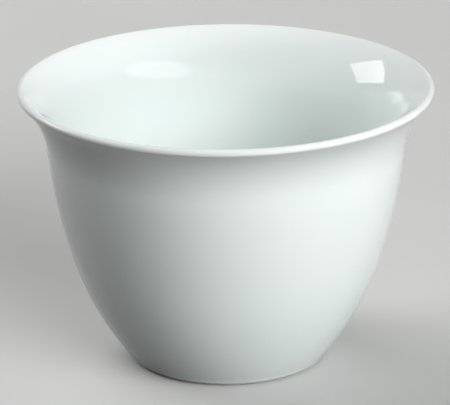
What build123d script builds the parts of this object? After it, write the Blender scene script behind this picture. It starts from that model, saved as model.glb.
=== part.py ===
from build123d import *
import os
from dataclasses import dataclass
from math import sqrt

# A handleless porcelain coffee cup, in millimetres. It stands on z = 0 with its axis on Z.
# Sections are drawn in a half plane: x is the distance from the axis and y is the height.
# Sizes are those of the finished, glazed cup. Leans are in degrees from level.

# Outside of the cup
rim_diameter = 70.0
cup_height = 48.1
flare_reach = 4.75
flare_height = 10.55
neck_lean = 84.4
foot_diameter = 34.2
foot_lean = 51.2

# Thickness of the wall, thin at the lip and thicker towards the floor
lip_thickness = 1.3
neck_thickness = 2.3
belly_thickness = 2.6
floor_thickness = 3.0
glaze_thickness = 0.2

# Inside of the bowl
dish_radius = 75.0
bowl_corner_radius = 11.0

# Foot ring, and the well that it goes round
bare_foot_height = 0.7
foot_round = 0.6
standing_width = 1.8
well_round = 0.4
well_depth = 1.6
well_lean = 62.0
well_corner_radius = 1.2
well_bare_width = 0.6

level = Vector(1, 0)
upright = Vector(0, 1)
half_turn = 180


def slope(lean):
    """Direction of a line that rises outwards at a lean."""
    return level.rotate(Axis.Z, lean)


def left_of(direction):
    """Direction a quarter turn to the left."""
    return direction.rotate(Axis.Z, 90)


def circle_centre(touch, direction, through):
    """Centre of the circle that touches a line at one point and passes through another point."""
    across = left_of(direction)
    run = through - touch
    return touch + across * (run.dot(run) / (2 * run.dot(across)))


def smooth_join(start, start_direction, end, end_direction):
    """Point where two arcs with equal tangents meet, on the way between two points and directions."""
    run = end - start
    both = start_direction + end_direction
    spare = 4 - both.dot(both)
    reach = run.dot(both)
    tangent = (sqrt(reach * reach + spare * run.dot(run)) - reach) / spare
    return (start + start_direction * tangent + end - end_direction * tangent) / 2


def nested_centre(first_centre, first_gap, second_centre, second_gap):
    """Centre that lies a given gap from each of two others, to the left of the way between them."""
    run = second_centre - first_centre
    along = (first_gap**2 - second_gap**2 + run.dot(run)) / (2 * run.length)
    across = sqrt(first_gap**2 - along**2)
    return first_centre + run.normalized() * along + left_of(run.normalized()) * across


def turn_between(start, end):
    """Angle from one direction to another, the shorter way, in degrees to the left."""
    return start.get_signed_angle(end, Vector(0, 0, 1))


@dataclass(frozen=True)
class Stretch:
    """One arc of the glazed surface, followed with the clay on its right hand."""

    start: Vector
    centre: Vector
    turn: float

    def point(self, share, depth):
        """Point a share of the way along the arc, at a depth below the glazed surface."""
        spoke = self.start - self.centre
        deeper = depth if self.turn > 0 else -depth
        return self.centre + (spoke + spoke.normalized() * deeper).rotate(Axis.Z, self.turn * share)

    def edge(self, depth):
        """Parallel arc at a depth below the glazed surface."""
        return ThreePointArc(*[self.point(share, depth) for share in (0, 0.5, 1)])


def bend(start, centre, end):
    """Stretch from one point to another, the shorter way about its centre."""
    return Stretch(start, centre, turn_between(start - centre, end - centre))


def turned(outline):
    """Solid of one closed outline carried round the axis of the cup."""
    return revolve(Plane.XZ * make_face(outline), Axis.Z)


# Outside wall: two arcs from the foot to the neck, and a flare that opens the lip
foot_edge = Vector(foot_diameter / 2, bare_foot_height)
neck = Vector(rim_diameter / 2 - flare_reach, cup_height - flare_height)
belly = smooth_join(foot_edge, slope(foot_lean), neck, slope(neck_lean))
lower_centre = circle_centre(foot_edge, slope(foot_lean), belly)
upper_centre = circle_centre(neck, slope(neck_lean), belly)

# Flare and lip: the two faces of the flare draw together towards the lip, which is round
lip_radius = lip_thickness / 2
lip_centre = Vector(rim_diameter / 2 - lip_radius, cup_height - lip_radius)
across_neck = left_of(slope(neck_lean))
inside_neck = neck + across_neck * neck_thickness
inside_flare = circle_centre(inside_neck - across_neck * lip_radius, slope(neck_lean), lip_centre)
outside_flare = circle_centre(neck + across_neck * lip_radius, slope(neck_lean), lip_centre)
inside_spoke = (lip_centre - inside_flare).normalized() * lip_radius
outside_spoke = (lip_centre - outside_flare).normalized() * lip_radius
lip_inside = lip_centre + inside_spoke
lip_outside = lip_centre - outside_spoke
lip_turn = turn_between(inside_spoke, outside_spoke) - half_turn

# Inside of the bowl: a wall that thickens downwards, a round corner and a shallow dish
inside_belly = belly + (lower_centre - belly).normalized() * belly_thickness
wall_centre = circle_centre(inside_neck, slope(neck_lean), inside_belly)
wall_radius = (inside_neck - wall_centre).length
bowl_bottom = upright * (well_depth + floor_thickness)
dish_centre = bowl_bottom + upright * dish_radius
corner_centre = nested_centre(
    dish_centre, dish_radius - bowl_corner_radius, wall_centre, wall_radius - bowl_corner_radius
)
dish_edge = corner_centre + (corner_centre - dish_centre).normalized() * bowl_corner_radius
wall_foot = corner_centre + (corner_centre - wall_centre).normalized() * bowl_corner_radius

# Glazed surface, from the middle of the bowl over the lip and down to the foot
skin = [
    bend(bowl_bottom, dish_centre, dish_edge),
    bend(dish_edge, corner_centre, wall_foot),
    bend(wall_foot, wall_centre, inside_neck),
    bend(inside_neck, inside_flare, lip_inside),
    Stretch(lip_inside, lip_centre, lip_turn),
    bend(lip_outside, outside_flare, neck),
    bend(neck, upper_centre, belly),
    bend(belly, lower_centre, foot_edge),
]

# Foot: the clay carries on below the glaze, and is rounded under to the ring that it stands on
clay_radius = (foot_edge - lower_centre).length - glaze_thickness
round_gap = clay_radius - foot_round
round_drop = lower_centre.Y - foot_round
round_centre = Vector(lower_centre.X + sqrt(round_gap**2 - round_drop**2), foot_round)
round_start = round_centre + (round_centre - lower_centre).normalized() * foot_round
round_end = round_centre - upright * foot_round
clay_foot_edge = skin[-1].point(1, glaze_thickness)
bare_foot = [
    bend(clay_foot_edge, lower_centre, round_start).edge(0),
    bend(round_start, round_centre, round_end).edge(0),
]

# Well: its wall leans in from the ring to a flat ceiling, and is rounded at both ends
ring_inside = round_end - level * standing_width
up_well = slope(half_turn - well_lean)
well_edge = ring_inside + up_well * well_bare_width


def well_line(depth):
    """Line from the edge of the well's glaze to the axis, at a depth below the glazed surface."""
    edge = well_edge + left_of(up_well) * (glaze_thickness - depth)
    ceiling = well_depth + depth
    corner = edge + up_well * ((ceiling - edge.Y) / up_well.Y)
    return FilletPolyline(edge, corner, upright * ceiling, radius=well_corner_radius + depth)


glaze_coat = turned(
    [stretch.edge(0) for stretch in skin]
    + [stretch.edge(glaze_thickness) for stretch in skin]
    + [Line(foot_edge, clay_foot_edge)]
    + [Line(bowl_bottom, bowl_bottom - upright * glaze_thickness)]
)

foot_well_glaze = turned(
    [well_line(0), well_line(glaze_thickness)]
    + [Line(well_line(0) @ 0, well_line(glaze_thickness) @ 0)]
    + [Line(well_line(0) @ 1, well_line(glaze_thickness) @ 1)]
)

porcelain_body = turned(
    [stretch.edge(glaze_thickness) for stretch in skin]
    + bare_foot
    + [FilletPolyline(round_end, ring_inside, well_edge, radius=well_round)]
    + [well_line(glaze_thickness)]
    + [Line(well_line(glaze_thickness) @ 1, bowl_bottom - upright * glaze_thickness)]
)

os.makedirs("parts", exist_ok=True)
export_step(porcelain_body, "parts/porcelain_body.step")
export_step(glaze_coat, "parts/glaze_coat.step")
export_step(foot_well_glaze, "parts/foot_well_glaze.step")
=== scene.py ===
import bpy
import numpy as np
from mathutils import Matrix, Vector


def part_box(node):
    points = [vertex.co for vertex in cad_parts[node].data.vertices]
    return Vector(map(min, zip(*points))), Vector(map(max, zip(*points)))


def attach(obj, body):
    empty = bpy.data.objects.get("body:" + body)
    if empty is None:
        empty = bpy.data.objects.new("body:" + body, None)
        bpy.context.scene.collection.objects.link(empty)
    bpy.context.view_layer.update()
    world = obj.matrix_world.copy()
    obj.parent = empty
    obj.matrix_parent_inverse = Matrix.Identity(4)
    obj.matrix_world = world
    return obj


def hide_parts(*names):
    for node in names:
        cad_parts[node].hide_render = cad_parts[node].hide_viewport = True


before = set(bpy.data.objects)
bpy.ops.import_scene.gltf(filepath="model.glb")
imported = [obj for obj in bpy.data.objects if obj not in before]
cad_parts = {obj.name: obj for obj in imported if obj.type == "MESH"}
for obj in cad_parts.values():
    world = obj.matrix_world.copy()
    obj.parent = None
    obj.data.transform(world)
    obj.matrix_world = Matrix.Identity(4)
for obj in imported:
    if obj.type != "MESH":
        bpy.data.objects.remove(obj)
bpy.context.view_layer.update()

# A handleless porcelain coffee cup, in metres. It stands on z = 0 with its axis on Z.
# A section of the cup is drawn with complex numbers: the real part is the distance from the axis
# and the imaginary part is the height, so that a quarter turn to the left is a product with 1j.
# Leans are in degrees from level.
MM = 0.001
LEFT = 1j

# Sizes that the frame gives
glaze_low, glaze_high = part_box("glaze_coat")
rim_radius = glaze_high.x
cup_height = glaze_high.z
bare_foot_height = glaze_low.z
glaze_thickness = cup_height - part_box("porcelain_body")[1].z

# Outside of the cup
flare_reach = 4.75 * MM
flare_height = 10.55 * MM
neck_lean = 84.4
foot_radius = 17.1 * MM
foot_lean = 51.2

# Thickness of the wall, and the inside of the bowl
lip_thickness = 1.3 * MM
neck_thickness = 2.3 * MM
belly_thickness = 2.6 * MM
floor_thickness = 3.0 * MM
dish_radius = 75.0 * MM
bowl_corner_radius = 11.0 * MM

# Foot ring, and the well that it goes round
foot_round = 0.25 * MM
standing_width = 1.8 * MM
well_round = 0.4 * MM
well_depth = 1.6 * MM
well_lean = 62.0
well_corner_radius = 1.2 * MM
well_bare_width = 0.6 * MM

# Edge of the glaze: a thin run below the stop line, where it rolls over to the bare clay behind a low bead
glaze_run = 0.45 * MM
roll_length = 0.25 * MM
bead_height = 0.06 * MM
bead_distance = 0.6 * MM
bead_spread = 0.4 * MM

# Steps of the meshes
steps_around = 256
longest_step = 1.0 * MM
edge_step = 0.03 * MM
edge_length = 1.05 * MM
widest_turn = np.radians(7.0)


def slope(lean):
    """Step of length one that rises outwards at a lean: e to the power of i times the lean."""
    return np.exp(1j * np.radians(lean))


def unit(step):
    """Step of length one in the same direction."""
    return step / abs(step)


def dot(first, second):
    """Scalar product of two steps: the real part of one times the other's conjugate."""
    return (first * np.conj(second)).real


def circle_centre(touch, direction, through):
    """Centre of the circle that touches a line at one point and passes through another point: square
    to the line, at the square of the run between the points over twice its share across the line."""
    across = LEFT * direction
    run = through - touch
    return touch + across * dot(run, run) / (2 * dot(run, across))


def smooth_join(start, start_direction, end, end_direction):
    """Point where two arcs with equal tangents meet: midway between the ends of the tangents, whose
    length makes the step between those ends twice as long as each of them."""
    run = end - start
    both = start_direction + end_direction
    spare = 4 - dot(both, both)
    reach = dot(run, both)
    tangent = (np.sqrt(reach**2 + spare * dot(run, run)) - reach) / spare
    return (start + start_direction * tangent + end - end_direction * tangent) / 2


def nested_centre(first_centre, first_gap, second_centre, second_gap):
    """Centre at a given gap from each of two others, to the left of the way between them: the foot of
    its height comes from the difference of the squared gaps, and the height from Pythagoras."""
    run = second_centre - first_centre
    along = (first_gap**2 - second_gap**2 + abs(run) ** 2) / (2 * abs(run))
    across = np.sqrt(first_gap**2 - along**2)
    return first_centre + unit(run) * (along + LEFT * across)


def arc_line(start, centre, turn, depth=0.0, step=longest_step):
    """Points of an arc and their outward steps, as two rows. The spoke from the centre grows by the depth
    on a left turn, shrinks by it on a right turn, and sweeps the turn in even steps. Outwards is the
    left hand, so it is along the spoke on a right turn and against it on a left turn."""
    side = np.sign(turn)
    spoke = unit(start - centre)
    radius = abs(start - centre) + side * depth
    count = np.ceil(max(radius * abs(turn) / step, abs(turn) / widest_turn))
    spokes = spoke * np.exp(1j * np.linspace(0, turn, int(count) + 1))
    return np.array([centre + radius * spokes, -side * spokes])


def turn_between(start, centre, end):
    """Angle from one spoke to another, the shorter way."""
    return np.angle((end - centre) / (start - centre))


def straight_line(start, end, step=longest_step):
    """Points of a straight line and their outward steps, on its left hand, as two rows."""
    count = int(np.ceil(abs(end - start) / step))
    points = np.linspace(start, end, count + 1)
    return np.array([points, np.full(count + 1, LEFT * unit(end - start))])


def rounded_corner(before, corner, after, radius):
    """Arc in a corner between two straight lines: its centre is on the line that halves the corner,
    at the radius over the sine of half the corner's angle."""
    back = unit(before - corner)
    ahead = unit(after - corner)
    half = abs(np.angle(ahead / back)) / 2
    centre = corner + unit(back + ahead) * radius / np.sin(half)
    start = corner + back * radius / np.tan(half)
    end = corner + ahead * radius / np.tan(half)
    return arc_line(start, centre, turn_between(start, centre, end))


def joined(*lines):
    """One line from several that follow on from each other, with no point twice."""
    line = np.hstack(lines)
    fresh = np.append(True, abs(np.diff(line[0])) > edge_step / 10)
    return line[:, fresh]


# Outside wall: two arcs from the foot to the neck, and a flare that opens the lip
foot_edge = foot_radius + 1j * bare_foot_height
neck = rim_radius - flare_reach + 1j * (cup_height - flare_height)
belly = smooth_join(foot_edge, slope(foot_lean), neck, slope(neck_lean))
lower_centre = circle_centre(foot_edge, slope(foot_lean), belly)
upper_centre = circle_centre(neck, slope(neck_lean), belly)

# Flare and lip: the two faces of the flare draw together towards the lip, which is round
lip_radius = lip_thickness / 2
lip_centre = rim_radius - lip_radius + 1j * (cup_height - lip_radius)
across_neck = LEFT * slope(neck_lean)
inside_neck = neck + across_neck * neck_thickness
inside_flare = circle_centre(inside_neck - across_neck * lip_radius, slope(neck_lean), lip_centre)
outside_flare = circle_centre(neck + across_neck * lip_radius, slope(neck_lean), lip_centre)
lip_inside = lip_centre + unit(lip_centre - inside_flare) * lip_radius
lip_outside = lip_centre - unit(lip_centre - outside_flare) * lip_radius
lip_turn = turn_between(inside_flare, lip_centre, outside_flare) - np.pi

# Inside of the bowl: a wall that thickens downwards, a round corner and a shallow dish
inside_belly = belly + unit(lower_centre - belly) * belly_thickness
wall_centre = circle_centre(inside_neck, slope(neck_lean), inside_belly)
wall_radius = abs(inside_neck - wall_centre)
bowl_bottom = 1j * (well_depth + floor_thickness)
dish_centre = bowl_bottom + 1j * dish_radius
corner_centre = nested_centre(
    dish_centre, dish_radius - bowl_corner_radius, wall_centre, wall_radius - bowl_corner_radius
)
dish_edge = corner_centre + unit(corner_centre - dish_centre) * bowl_corner_radius
wall_foot = corner_centre + unit(corner_centre - wall_centre) * bowl_corner_radius

# Last stretch of the outside wall, which carries the edge of the glaze in finer steps
foot_spoke = foot_edge - lower_centre
edge_start = lower_centre + foot_spoke * np.exp(1j * edge_length / abs(foot_spoke))
glaze_end = lower_centre + foot_spoke * np.exp(-1j * glaze_run / abs(foot_spoke))


def clay_arc(start, centre, end, step=longest_step):
    """Arc of the clay under the glaze, from two points of the finished surface."""
    return arc_line(start, centre, turn_between(start, centre, end), glaze_thickness, step)


# Clay under the coat of glaze, from the middle of the bowl over the lip and down to the end of the run
coated_clay = joined(
    clay_arc(bowl_bottom, dish_centre, dish_edge),
    clay_arc(dish_edge, corner_centre, wall_foot),
    clay_arc(wall_foot, wall_centre, inside_neck),
    clay_arc(inside_neck, inside_flare, lip_inside),
    arc_line(lip_inside, lip_centre, lip_turn, glaze_thickness),
    clay_arc(lip_outside, outside_flare, neck),
    clay_arc(neck, upper_centre, belly),
    clay_arc(belly, lower_centre, edge_start),
    clay_arc(edge_start, lower_centre, glaze_end, edge_step),
)

# Bare foot: the clay carries on below the glaze, and is rounded under to the ring that it stands on
clay_edge = coated_clay[0, -1]
round_gap = abs(clay_edge - lower_centre) - foot_round
round_drop = lower_centre.imag - foot_round
round_centre = lower_centre.real + np.sqrt(round_gap**2 - round_drop**2) + 1j * foot_round
round_start = round_centre + unit(round_centre - lower_centre) * foot_round
round_end = round_centre - 1j * foot_round
ring_inside = round_end - standing_width
up_well = slope(180 - well_lean)
well_edge = ring_inside + up_well * well_bare_width
ring_corner = rounded_corner(round_end, ring_inside, well_edge, well_round)
bare_foot = joined(
    arc_line(clay_edge, lower_centre, turn_between(clay_edge, lower_centre, round_start)),
    arc_line(round_start, round_centre, turn_between(round_start, round_centre, round_end)),
    straight_line(round_end, ring_corner[0, 0]),
    ring_corner,
    straight_line(ring_corner[0, -1], well_edge),
)

# Clay of the well: its wall leans in to a flat ceiling, with a round corner between them
ceiling = 1j * (well_depth + glaze_thickness)
well_corner = well_edge + up_well * (ceiling - well_edge).imag / up_well.imag
well_arc = rounded_corner(well_edge, well_corner, ceiling, well_corner_radius + glaze_thickness)
well_clay = joined(
    straight_line(well_edge, well_arc[0, 0], edge_step),
    well_arc,
    straight_line(well_arc[0, -1], ceiling),
)


def way_along(line):
    """Distance from the start of a line to each of its points: the running sum of its steps."""
    return np.append(0, np.cumsum(abs(np.diff(line[0]))))


def glaze_over(clay, edge_gap):
    """Glazed surface over a line of clay: each point moves outwards by the thickness of the glaze.
    Near the edge the thickness gains a bell-shaped bead, and it ends in a quarter of an ellipse."""
    bead = bead_height * np.exp(-(((edge_gap - bead_distance) / bead_spread) ** 2))
    roll = np.sqrt(1 - (1 - np.minimum(edge_gap / roll_length, 1)) ** 2)
    return clay[0] + clay[1] * (glaze_thickness + bead) * roll


def gathered(points, *places):
    """Share of gathered glaze at each point, from 0 to 1: bell curves of the distance from places where
    glaze runs together, each given with its spread and its strength."""
    bells = [strength * np.exp(-((abs(points - place) / spread) ** 2)) for place, spread, strength in places]
    return np.clip(even_glaze + sum(bells), 0, 1)


def turned(name, line, gather=None):
    """Closed mesh of a line from the axis out and back to the axis, with the solid on its right hand. A
    point at radius r and height z goes round as (r cos a, r sin a, z), and both ends are single points."""
    angle = np.linspace(0, 2 * np.pi, steps_around, endpoint=False)
    rings = line[1:-1, None]
    heights = np.broadcast_to(rings.imag, (len(rings), steps_around))
    grid = np.stack([rings.real * np.cos(angle), rings.real * np.sin(angle), heights], axis=-1)
    first = np.array([[0, 0, line[0].imag]])
    last = np.array([[0, 0, line[-1].imag]])
    points = np.concatenate([first, grid.reshape(-1, 3), last])

    here = 1 + np.arange(len(rings) * steps_around).reshape(len(rings), steps_around)
    beside = np.roll(here, -1, axis=1)
    quads = np.stack([here[:-1], here[1:], beside[1:], beside[:-1]], axis=-1).reshape(-1, 4)
    poles = np.zeros(steps_around, int), np.full(steps_around, len(points) - 1)
    first_fan = np.stack([poles[0], here[0], beside[0]], axis=-1)
    last_fan = np.stack([here[-1], poles[1], beside[-1]], axis=-1)

    mesh = bpy.data.meshes.new(name)
    mesh.from_pydata(points.tolist(), [], quads.tolist() + first_fan.tolist() + last_fan.tolist())
    mesh.shade_smooth()
    if gather is not None:
        values = np.concatenate([gather[:1], np.repeat(gather[1:-1], steps_around), gather[-1:]])
        mesh.attributes.new("gather", "FLOAT", "POINT").data.foreach_set("value", values.astype(np.float32))
    piece = bpy.data.objects.new(name, mesh)
    bpy.context.scene.collection.objects.link(piece)
    return piece


def place_node(tree, kind, inputs=None, **settings):
    """New shader node with its settings. An input is a value, or a socket that it is linked to."""
    node = tree.nodes.new("ShaderNode" + kind)
    for name, value in settings.items():
        setattr(node, name, value)
    for name, value in (inputs or {}).items():
        if isinstance(value, bpy.types.NodeSocket):
            tree.links.new(value, node.inputs[name])
        else:
            node.inputs[name].default_value = value
    return node


def colour_scale(tree, value, stops):
    """Colour Ramp with the given stops, each a position and a colour."""
    node = place_node(tree, "ValToRGB", {"Fac": value})
    for element, (position, colour) in zip(node.color_ramp.elements, stops):
        element.position = position
        element.color = (*colour, 1)
    return node.outputs["Color"]


def spread_value(tree, value, low, high, start=0.0, end=1.0):
    """Map Range from start and end to low and high."""
    limits = {"From Min": start, "From Max": end, "To Min": low, "To Max": high}
    return place_node(tree, "MapRange", {"Value": value, **limits}).outputs["Result"]


def calculate(tree, operation, first, second):
    """Math node with two inputs."""
    node = place_node(tree, "Math", {0: first, 1: second}, operation=operation)
    return node.outputs["Value"]


def make_fired_mottle():
    """Group with the unevenness of fired clay and glaze: a soft cloud and a fine grain, both from 0 to 1,
    as noise on Object coordinates with the given sizes in metres."""
    tree = bpy.data.node_groups.new("fired_mottle", "ShaderNodeTree")
    for name in ("Cloud Size", "Grain Size"):
        tree.interface.new_socket(name, in_out="INPUT", socket_type="NodeSocketFloat")
    for name in ("Cloud", "Grain"):
        tree.interface.new_socket(name, in_out="OUTPUT", socket_type="NodeSocketFloat")
    sizes = tree.nodes.new("NodeGroupInput")
    result = tree.nodes.new("NodeGroupOutput")
    place = place_node(tree, "TexCoord").outputs["Object"]
    for name, detail in (("Cloud", 2.0), ("Grain", 4.0)):
        scale = calculate(tree, "DIVIDE", 1.0, sizes.outputs[name + " Size"])
        noise = place_node(tree, "TexNoise", {"Vector": place, "Scale": scale, "Detail": detail})
        tree.links.new(noise.outputs["Fac"], result.inputs[name])
    return tree


def mottle_in(tree, cloud_size, grain_size):
    """The fired mottle, placed in a material with its own sizes. Gives the cloud and the grain."""
    node = tree.nodes.new("ShaderNodeGroup")
    node.node_tree = fired_mottle
    node.inputs["Cloud Size"].default_value = cloud_size
    node.inputs["Grain Size"].default_value = grain_size
    return node.outputs["Cloud"], node.outputs["Grain"]


def new_material(name):
    """Material with a Principled shader. Gives the material, its node tree and the shader."""
    material = bpy.data.materials.new(name)
    material.use_nodes = True
    return material, material.node_tree, material.node_tree.nodes["Principled BSDF"]


def feed(tree, shader, **sockets):
    """Links or sets the shader's sockets. An underscore stands for a space in a socket's name."""
    for name, value in sockets.items():
        socket = shader.inputs[name.replace("_", " ")]
        if isinstance(value, bpy.types.NodeSocket):
            tree.links.new(value, socket)
        else:
            socket.default_value = value


def make_white_glaze():
    """Clear glossy glaze on white: whiter where it is thin and faintly cooler where it gathers. A low ripple
    and a fine peel bend its reflections, and a cloud in its gloss makes them a little uneven."""
    material, tree, shader = new_material("white_glaze")
    cloud, peel = mottle_in(tree, cloud_size=14 * MM, grain_size=2.2 * MM)
    gather = place_node(tree, "Attribute", attribute_name="gather").outputs["Fac"]
    uneven = spread_value(tree, cloud, -0.12, 0.12, 0.3, 0.7)
    depth = calculate(tree, "ADD", gather, uneven)
    colour = colour_scale(tree, depth, ((0.0, thin_glaze), (1.0, deep_glaze)))
    ripple = place_node(tree, "Bump", {"Height": cloud, "Distance": 0.012 * MM})
    rippled = ripple.outputs["Normal"]
    fine = place_node(tree, "Bump", {"Height": peel, "Distance": 0.0006 * MM, "Normal": rippled})
    feed(
        tree,
        shader,
        Base_Color=colour,
        Roughness=spread_value(tree, cloud, 0.035, 0.075, 0.3, 0.7),
        Normal=fine.outputs["Normal"],
        IOR=1.5,
    )
    return material


def make_bare_porcelain():
    """Bare fired clay: warm white, matt and finely grained, greyed by scuffs on the ring it stands on."""
    material, tree, shader = new_material("bare_porcelain")
    cloud, grain = mottle_in(tree, cloud_size=6 * MM, grain_size=0.25 * MM)
    place = place_node(tree, "TexCoord").outputs["Object"]
    height = place_node(tree, "SeparateXYZ", {"Vector": place}).outputs["Z"]
    low = spread_value(tree, height, 1.0, 0.0, 0.02 * MM, 0.25 * MM)
    scuffs = calculate(tree, "MULTIPLY", low, spread_value(tree, cloud, 0.25, 1.0, 0.35, 0.65))
    rough_grain = calculate(tree, "MULTIPLY", grain, 0.5)
    soil = calculate(tree, "ADD", scuffs, rough_grain)
    colour = colour_scale(tree, soil, ((0.1, clean_clay), (1.0, scuffed_clay)))
    bump = place_node(tree, "Bump", {"Height": grain, "Distance": 0.02 * MM})
    feed(
        tree,
        shader,
        Base_Color=colour,
        Roughness=spread_value(tree, scuffs, 0.72, 0.48),
        Normal=bump.outputs["Normal"],
        IOR=1.5,
    )
    return material


def seen_rays(tree):
    """1 for a ray from the camera, off a glossy surface or through a clear one, and 0 for any other: the
    largest of the three marks of Light Path."""
    rays = place_node(tree, "LightPath")
    seen = calculate(tree, "MAXIMUM", rays.outputs["Is Camera Ray"], rays.outputs["Is Glossy Ray"])
    return calculate(tree, "MAXIMUM", seen, rays.outputs["Is Transmission Ray"])


def make_pale_floor():
    """Plain pale matt floor with a faint grain. It is pale to the camera and in reflections, and sends
    less light up than it shows, so that the cup keeps its shade."""
    material, tree, shader = new_material("pale_floor")
    cloud, grain = mottle_in(tree, cloud_size=60 * MM, grain_size=0.8 * MM)
    shown = colour_scale(tree, cloud, ((0.3, floor_shade), (0.7, floor_white)))
    mix = place_node(tree, "Mix", {"Factor": seen_rays(tree)}, data_type="RGBA")
    mix.inputs["A"].default_value = (*floor_bounce, 1)
    tree.links.new(shown, mix.inputs["B"])
    bump = place_node(tree, "Bump", {"Height": grain, "Distance": 0.02 * MM})
    feed(tree, shader, Base_Color=mix.outputs["Result"], Roughness=0.8, Normal=bump.outputs["Normal"])
    return material


# Colours, as linear light
thin_glaze = (0.85, 0.89, 0.878)
deep_glaze = (0.783, 0.87, 0.848)
clean_clay = (0.83, 0.81, 0.77)
scuffed_clay = (0.50, 0.48, 0.45)
floor_white = (0.68, 0.68, 0.67)
floor_shade = (0.64, 0.64, 0.63)
floor_bounce = (0.06, 0.06, 0.06)

# Share of gathered glaze on an even stretch
even_glaze = 0.4

fired_mottle = make_fired_mottle()
white_glaze = make_white_glaze()
bare_porcelain = make_bare_porcelain()

# Pieces of the cup
coat_surface = glaze_over(coated_clay, way_along(coated_clay)[-1] - way_along(coated_clay))
coat_line = np.append(coat_surface, coated_clay[0, -2::-1])
coat_gather = gathered(
    coat_line, (wall_foot, 9 * MM, 0.4), (glaze_end, 2.5 * MM, 0.5), (lip_centre, 2 * MM, -0.4)
)
glaze_coat = turned("glaze_coat_skin", coat_line, coat_gather)

well_surface = glaze_over(well_clay, way_along(well_clay))
well_line = np.append(well_clay[0, ::-1], well_surface[1:])
foot_well_glaze = turned("foot_well_glaze_skin", well_line, gathered(well_line, (well_corner, 2 * MM, 0.4)))

porcelain_body = turned("porcelain_body_clay", joined(coated_clay, bare_foot, well_clay)[0])

for piece, node, slot, material in (
    (glaze_coat, "glaze_coat", "white_glaze", white_glaze),
    (foot_well_glaze, "foot_well_glaze", "white_glaze", white_glaze),
    (porcelain_body, "porcelain_body", "bare_porcelain", bare_porcelain),
):
    piece.data.materials.append(material)
    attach(piece, "root")
    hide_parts(node)


def lay_floor(half_width=3.0, gap=0.005 * MM):
    """Level square floor just under the cup."""
    mesh = bpy.data.meshes.new("floor")
    corners = half_width * np.array([[-1, -1], [1, -1], [1, 1], [-1, 1]])
    points = np.column_stack([corners, np.full(4, -gap)])
    mesh.from_pydata(points.tolist(), [], [range(4)])
    mesh.materials.append(make_pale_floor())
    floor = bpy.data.objects.new("floor", mesh)
    bpy.context.scene.collection.objects.link(floor)


def hang_softbox(name, bearing, elevation, distance, size, level, roll=0.0, shape="ELLIPSE", mirrored=True):
    """Flat lamp that faces the cup. Its bearing goes clockwise from +Y, seen from above. At level 1 a white
    surface that faces it renders as white: its energy is the square of pi times its distance. A lamp that
    isn't mirrored lights the cup without a highlight in its glaze."""
    angle, rise = np.radians([bearing, elevation])
    away = Vector((np.sin(angle) * np.cos(rise), np.cos(angle) * np.cos(rise), np.sin(rise)))
    lamp = bpy.data.lights.new(name, "AREA")
    lamp.shape = shape
    lamp.size, lamp.size_y = size
    lamp.energy = level * (np.pi * distance) ** 2
    lamp_object = bpy.data.objects.new(name, lamp)
    face = away.to_track_quat("Z", "Y").to_matrix() @ Matrix.Rotation(np.radians(roll), 3, "Z")
    lamp_object.location = Vector((0, 0, cup_height)) + away * distance
    lamp_object.rotation_euler = face.to_euler()
    lamp_object.visible_camera = False
    lamp_object.visible_glossy = mirrored
    bpy.context.scene.collection.objects.link(lamp_object)


def show_background(level):
    """Pale background for the camera and in reflections, which sends no light to the cup by itself."""
    world = bpy.data.worlds.new("studio")
    world.use_nodes = True
    tree = world.node_tree
    strength = calculate(tree, "MULTIPLY", seen_rays(tree), level)
    tree.nodes["Background"].inputs["Color"].default_value = (1, 1, 1, 1)
    tree.links.new(strength, tree.nodes["Background"].inputs["Strength"])
    bpy.context.scene.world = world


def set_camera(target, elevation, distance, lens, roll):
    """Camera in front of the cup, looking along +Y and down at a target, turned clockwise by its roll."""
    rise = np.radians(elevation)
    camera = bpy.data.cameras.new("camera")
    camera.lens = lens
    camera.sensor_width = 36.0
    camera_object = bpy.data.objects.new("camera", camera)
    away = Vector((0, -np.cos(rise), np.sin(rise)))
    tilt = Matrix.Rotation(np.pi / 2 - rise, 4, "X")
    turn = Matrix.Rotation(-np.radians(roll), 4, "Z")
    camera_object.matrix_world = Matrix.Translation(Vector(target) + away * distance) @ tilt @ turn
    bpy.context.scene.collection.objects.link(camera_object)
    bpy.context.scene.camera = camera_object


lay_floor()
hang_softbox("key_softbox", bearing=132, elevation=27.5, distance=1.2, size=(1.0, 0.5), level=0.17, roll=10)
hang_softbox(
    "side_softbox",
    bearing=-66.5,
    elevation=25.5,
    distance=1.2,
    size=(0.55, 0.42),
    level=0.225,
    shape="RECTANGLE",
)
hang_softbox(
    "front_softbox", bearing=142, elevation=27, distance=1.5, size=(1.3, 0.8), level=0.62, mirrored=False
)
hang_softbox(
    "fill_softbox", bearing=165, elevation=25, distance=1.5, size=(0.8, 0.6), level=0.15, mirrored=False
)
hang_softbox(
    "low_softbox", bearing=123, elevation=3.5, distance=1.5, size=(1.2, 0.16), level=0.39, mirrored=False
)
hang_softbox(
    "back_softbox", bearing=-45, elevation=45, distance=1.5, size=(1.4, 1.2), level=0.6, mirrored=False
)
hang_softbox(
    "rear_softbox", bearing=25, elevation=8, distance=1.5, size=(1.2, 0.4), level=0.15, mirrored=False
)
show_background(level=0.6)
set_camera(
    target=(-0.257 * MM, 0, 26.79 * MM), elevation=19.925, distance=539.5 * MM, lens=253.8, roll=0.537
)
bpy.context.scene.view_settings.view_transform = "Standard"
